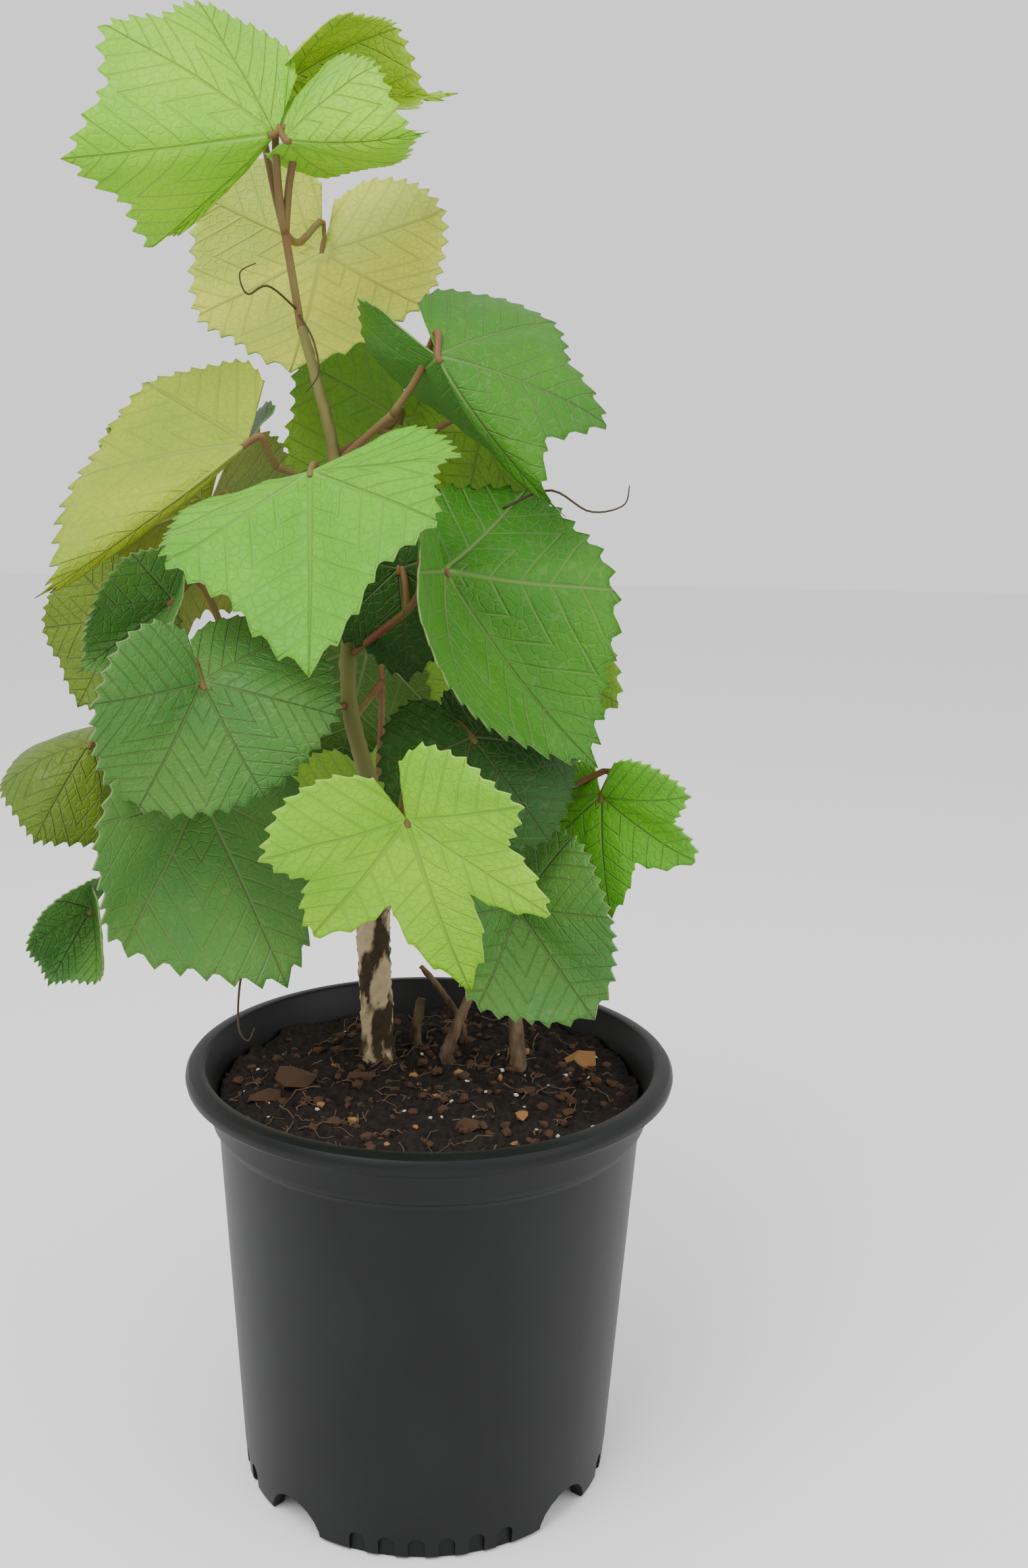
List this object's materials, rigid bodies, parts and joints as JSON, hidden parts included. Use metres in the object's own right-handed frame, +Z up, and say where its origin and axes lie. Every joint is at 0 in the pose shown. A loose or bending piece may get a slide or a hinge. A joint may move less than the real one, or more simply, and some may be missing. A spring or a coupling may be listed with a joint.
{
  "type": "potted grape vine",
  "caption": "Young grape vine in a dark round nursery pot of soil: a short woody trunk, a leaning green cane and a crown of large toothed leaves.",
  "frame": {"origin": "on the floor, under the middle of the whole plant's extent", "axes": "+Z up along the pot's axis; the side seen in the picture faces -Y; +X to the viewer's right"},
  "size_m": [0.2348, 0.211, 0.4904],
  "materials": {
    "pot_plastic": "dark charcoal, slightly satin",
    "potting_soil": "rough moist potting mix",
    "bark": "mottled tan bark",
    "green_cane": "smooth green-brown cane",
    "dry_wood": "dry brown wood",
    "leaf_green": "matt green leaf"
  },
  "bodies": {
    "root": {"pot": "pot_plastic", "soil": "potting_soil", "trunk": "bark", "lower_cane": "green_cane", "upper_cane": "green_cane", "shoot_tip": "green_cane", "dry_stub_left": "dry_wood", "dry_stub_middle": "dry_wood", "dry_stub_right": "dry_wood", "dry_side_stem": "dry_wood", "top_leaves": "leaf_green", "right_upper_leaves": "leaf_green", "left_upper_leaf": "leaf_green", "centre_leaves": "leaf_green", "right_leaves": "leaf_green", "left_leaves": "leaf_green", "front_leaf": "leaf_green", "lower_right_leaves": "leaf_green", "back_upper_leaves": "leaf_green", "back_left_leaves": "leaf_green", "back_middle_leaves": "leaf_green", "back_right_leaves": "leaf_green"}
  },
  "joints": []
}
